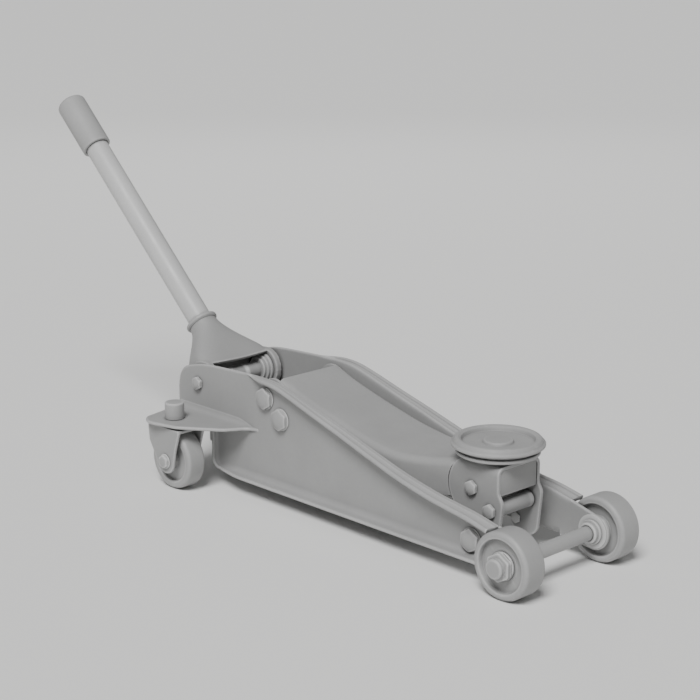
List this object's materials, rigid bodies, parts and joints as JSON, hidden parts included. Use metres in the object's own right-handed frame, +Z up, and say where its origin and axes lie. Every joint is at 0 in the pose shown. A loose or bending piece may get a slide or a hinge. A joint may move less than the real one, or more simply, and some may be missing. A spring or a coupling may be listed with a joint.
{
  "type": "hydraulic trolley jack",
  "caption": "Low wheeled hydraulic floor jack: pressed side plates, pumped lift arm with a levelled saddle, socketed handle, front wheels and rear swivel casters.",
  "frame": {"origin": "on the floor, at the middle of the bounding box seen from above", "axes": "+X forward to the front wheels, +Y to the left, +Z up"},
  "size_m": [0.8867, 0.2636, 0.43],
  "materials": {
    "frame_paint": "satin mid-grey paint",
    "arm_paint": "satin mid-grey paint",
    "bright_steel": "plain turned steel, satin",
    "cast_iron": "painted casting, fine grain",
    "wheel_grey": "painted wheel, satin",
    "grip_rubber": "smooth matt rubber"
  },
  "bodies": {
    "chassis": {"side_plate_right": "frame_paint", "side_plate_left": "frame_paint", "brace_bolt_right": "bright_steel", "brace_washer_right": "bright_steel", "brace_bolt_left": "bright_steel", "brace_washer_left": "bright_steel", "front_axle": "bright_steel", "axle_washer_right": "bright_steel", "axle_collar_right": "bright_steel", "axle_cap_nut_right": "bright_steel", "axle_washer_left": "bright_steel", "axle_collar_left": "bright_steel", "axle_cap_nut_left": "bright_steel", "arm_pivot_bolt": "bright_steel", "arm_pivot_nut": "bright_steel", "link_pivot_bolt": "bright_steel", "link_pivot_nut": "bright_steel", "handle_pivot_bolt": "bright_steel", "handle_pivot_nut": "bright_steel", "power_unit": "cast_iron", "gland_nut": "bright_steel", "reservoir": "frame_paint", "filler_plug": "grip_rubber", "plunger_spring": "bright_steel", "return_spring_right": "bright_steel"},
    "front_wheel_right": {"front_wheel_right": "wheel_grey"},
    "front_wheel_left": {"front_wheel_left": "wheel_grey"},
    "release_valve": {"release_valve": "bright_steel"},
    "ram": {"ram_rod": "bright_steel", "ram_head": "cast_iron"},
    "plunger": {"pump_plunger": "bright_steel"},
    "lift_arm": {"lift_arm": "arm_paint", "arm_lug": "cast_iron", "arm_tongue": "cast_iron"},
    "levelling_link": {"levelling_link": "cast_iron"},
    "saddle_head": {"saddle_head": "cast_iron", "head_pin_bolt": "bright_steel", "head_pin_nut": "bright_steel", "link_pin_bolt": "bright_steel", "link_pin_nut": "bright_steel", "cheek_rivet_right": "bright_steel", "cheek_rivet_left": "bright_steel"},
    "saddle": {"saddle_base": "bright_steel", "saddle_dish": "cast_iron"},
    "handle_yoke": {"handle_yoke": "cast_iron", "yoke_cross_tube": "bright_steel"},
    "pump_roller": {"pump_roller": "bright_steel"},
    "handle": {"handle_tube": "bright_steel", "handle_grip": "grip_rubber"},
    "caster_right": {"caster_kingpin_right": "bright_steel", "caster_fork_right": "frame_paint", "caster_bolt_right": "bright_steel", "caster_nut_right": "bright_steel"},
    "caster_wheel_right": {"caster_wheel_right": "wheel_grey"},
    "caster_left": {"caster_kingpin_left": "bright_steel", "caster_fork_left": "frame_paint", "caster_bolt_left": "bright_steel", "caster_nut_left": "bright_steel"},
    "caster_wheel_left": {"caster_wheel_left": "wheel_grey"}
  },
  "joints": [
    {"name": "front_wheel_right_spin", "type": "hinge", "parent": "chassis", "child": "front_wheel_right", "pos_m": [0.40802, -0.0765, 0.0364], "axis": [0, 1, 0], "continuous": true},
    {"name": "front_wheel_left_spin", "type": "hinge", "parent": "chassis", "child": "front_wheel_left", "pos_m": [0.40802, 0.0765, 0.0364], "axis": [0, 1, 0], "continuous": true},
    {"name": "arm_lift", "type": "hinge", "parent": "chassis", "child": "lift_arm", "pos_m": [0.01902, 0, 0.124], "axis": [0, -1, 0], "range_deg": [0, 55]},
    {"name": "levelling_link_swing", "type": "hinge", "parent": "chassis", "child": "levelling_link", "pos_m": [0.04502, 0, 0.104], "axis": [0, -1, 0], "range_deg": [0, 55]},
    {"name": "saddle_head_level", "type": "hinge", "parent": "lift_arm", "child": "saddle_head", "pos_m": [0.31652, 0, 0.084], "axis": [0, -1, 0], "range_deg": [-55, 0]},
    {"name": "saddle_swivel", "type": "hinge", "parent": "saddle_head", "child": "saddle", "pos_m": [0.32252, 0, 0.122], "axis": [0, 0, 1], "continuous": true},
    {"name": "ram_stroke", "type": "slide", "parent": "chassis", "child": "ram", "axis": [1, 0, 0], "range_m": [0, 0.05274], "deforming": ["return_spring_right"]},
    {"name": "handle_pump", "type": "hinge", "parent": "chassis", "child": "handle_yoke", "pos_m": [-0.10398, 0, 0.117], "axis": [0, -1, 0], "range_deg": [-25, 25]},
    {"name": "plunger_stroke", "type": "slide", "parent": "chassis", "child": "plunger", "axis": [1, 0, 0], "range_m": [-0.01066, 0.01066], "deforming": ["plunger_spring"]},
    {"name": "pump_roller_spin", "type": "hinge", "parent": "handle_yoke", "child": "pump_roller", "pos_m": [-0.10398, 0, 0.092], "axis": [0, 1, 0], "continuous": true},
    {"name": "handle_twist", "type": "hinge", "parent": "handle_yoke", "child": "handle", "pos_m": [-0.16914, 0, 0.17036], "axis": [-0.7266, 0, 0.6871], "range_deg": [0, 90]},
    {"name": "release_valve_turn", "type": "hinge", "parent": "chassis", "child": "release_valve", "pos_m": [-0.13198, 0, 0.046], "axis": [-1, 0, 0], "range_deg": [0, 90]},
    {"name": "caster_right_swivel", "type": "hinge", "parent": "chassis", "child": "caster_right", "pos_m": [-0.09798, -0.1018, 0.0795], "axis": [0, 0, 1], "continuous": true},
    {"name": "caster_right_spin", "type": "hinge", "parent": "caster_right", "child": "caster_wheel_right", "pos_m": [-0.09198, -0.1018, 0.0355], "axis": [0, 1, 0], "continuous": true},
    {"name": "caster_left_swivel", "type": "hinge", "parent": "chassis", "child": "caster_left", "pos_m": [-0.09798, 0.1018, 0.0795], "axis": [0, 0, 1], "continuous": true},
    {"name": "caster_left_spin", "type": "hinge", "parent": "caster_left", "child": "caster_wheel_left", "pos_m": [-0.09198, 0.1018, 0.0355], "axis": [0, 1, 0], "continuous": true}
  ],
  "couplings": [
    {"joint": "levelling_link_swing", "follows": "arm_lift", "ratio": 1},
    {"joint": "saddle_head_level", "follows": "arm_lift", "ratio": -1},
    {"joint": "ram_stroke", "follows": "arm_lift", "m_per_rad": 0.05484},
    {"joint": "plunger_stroke", "follows": "handle_pump", "m_per_rad": 0.02421},
    {"joint": "release_valve_turn", "follows": "handle_twist", "ratio": 1}
  ]
}
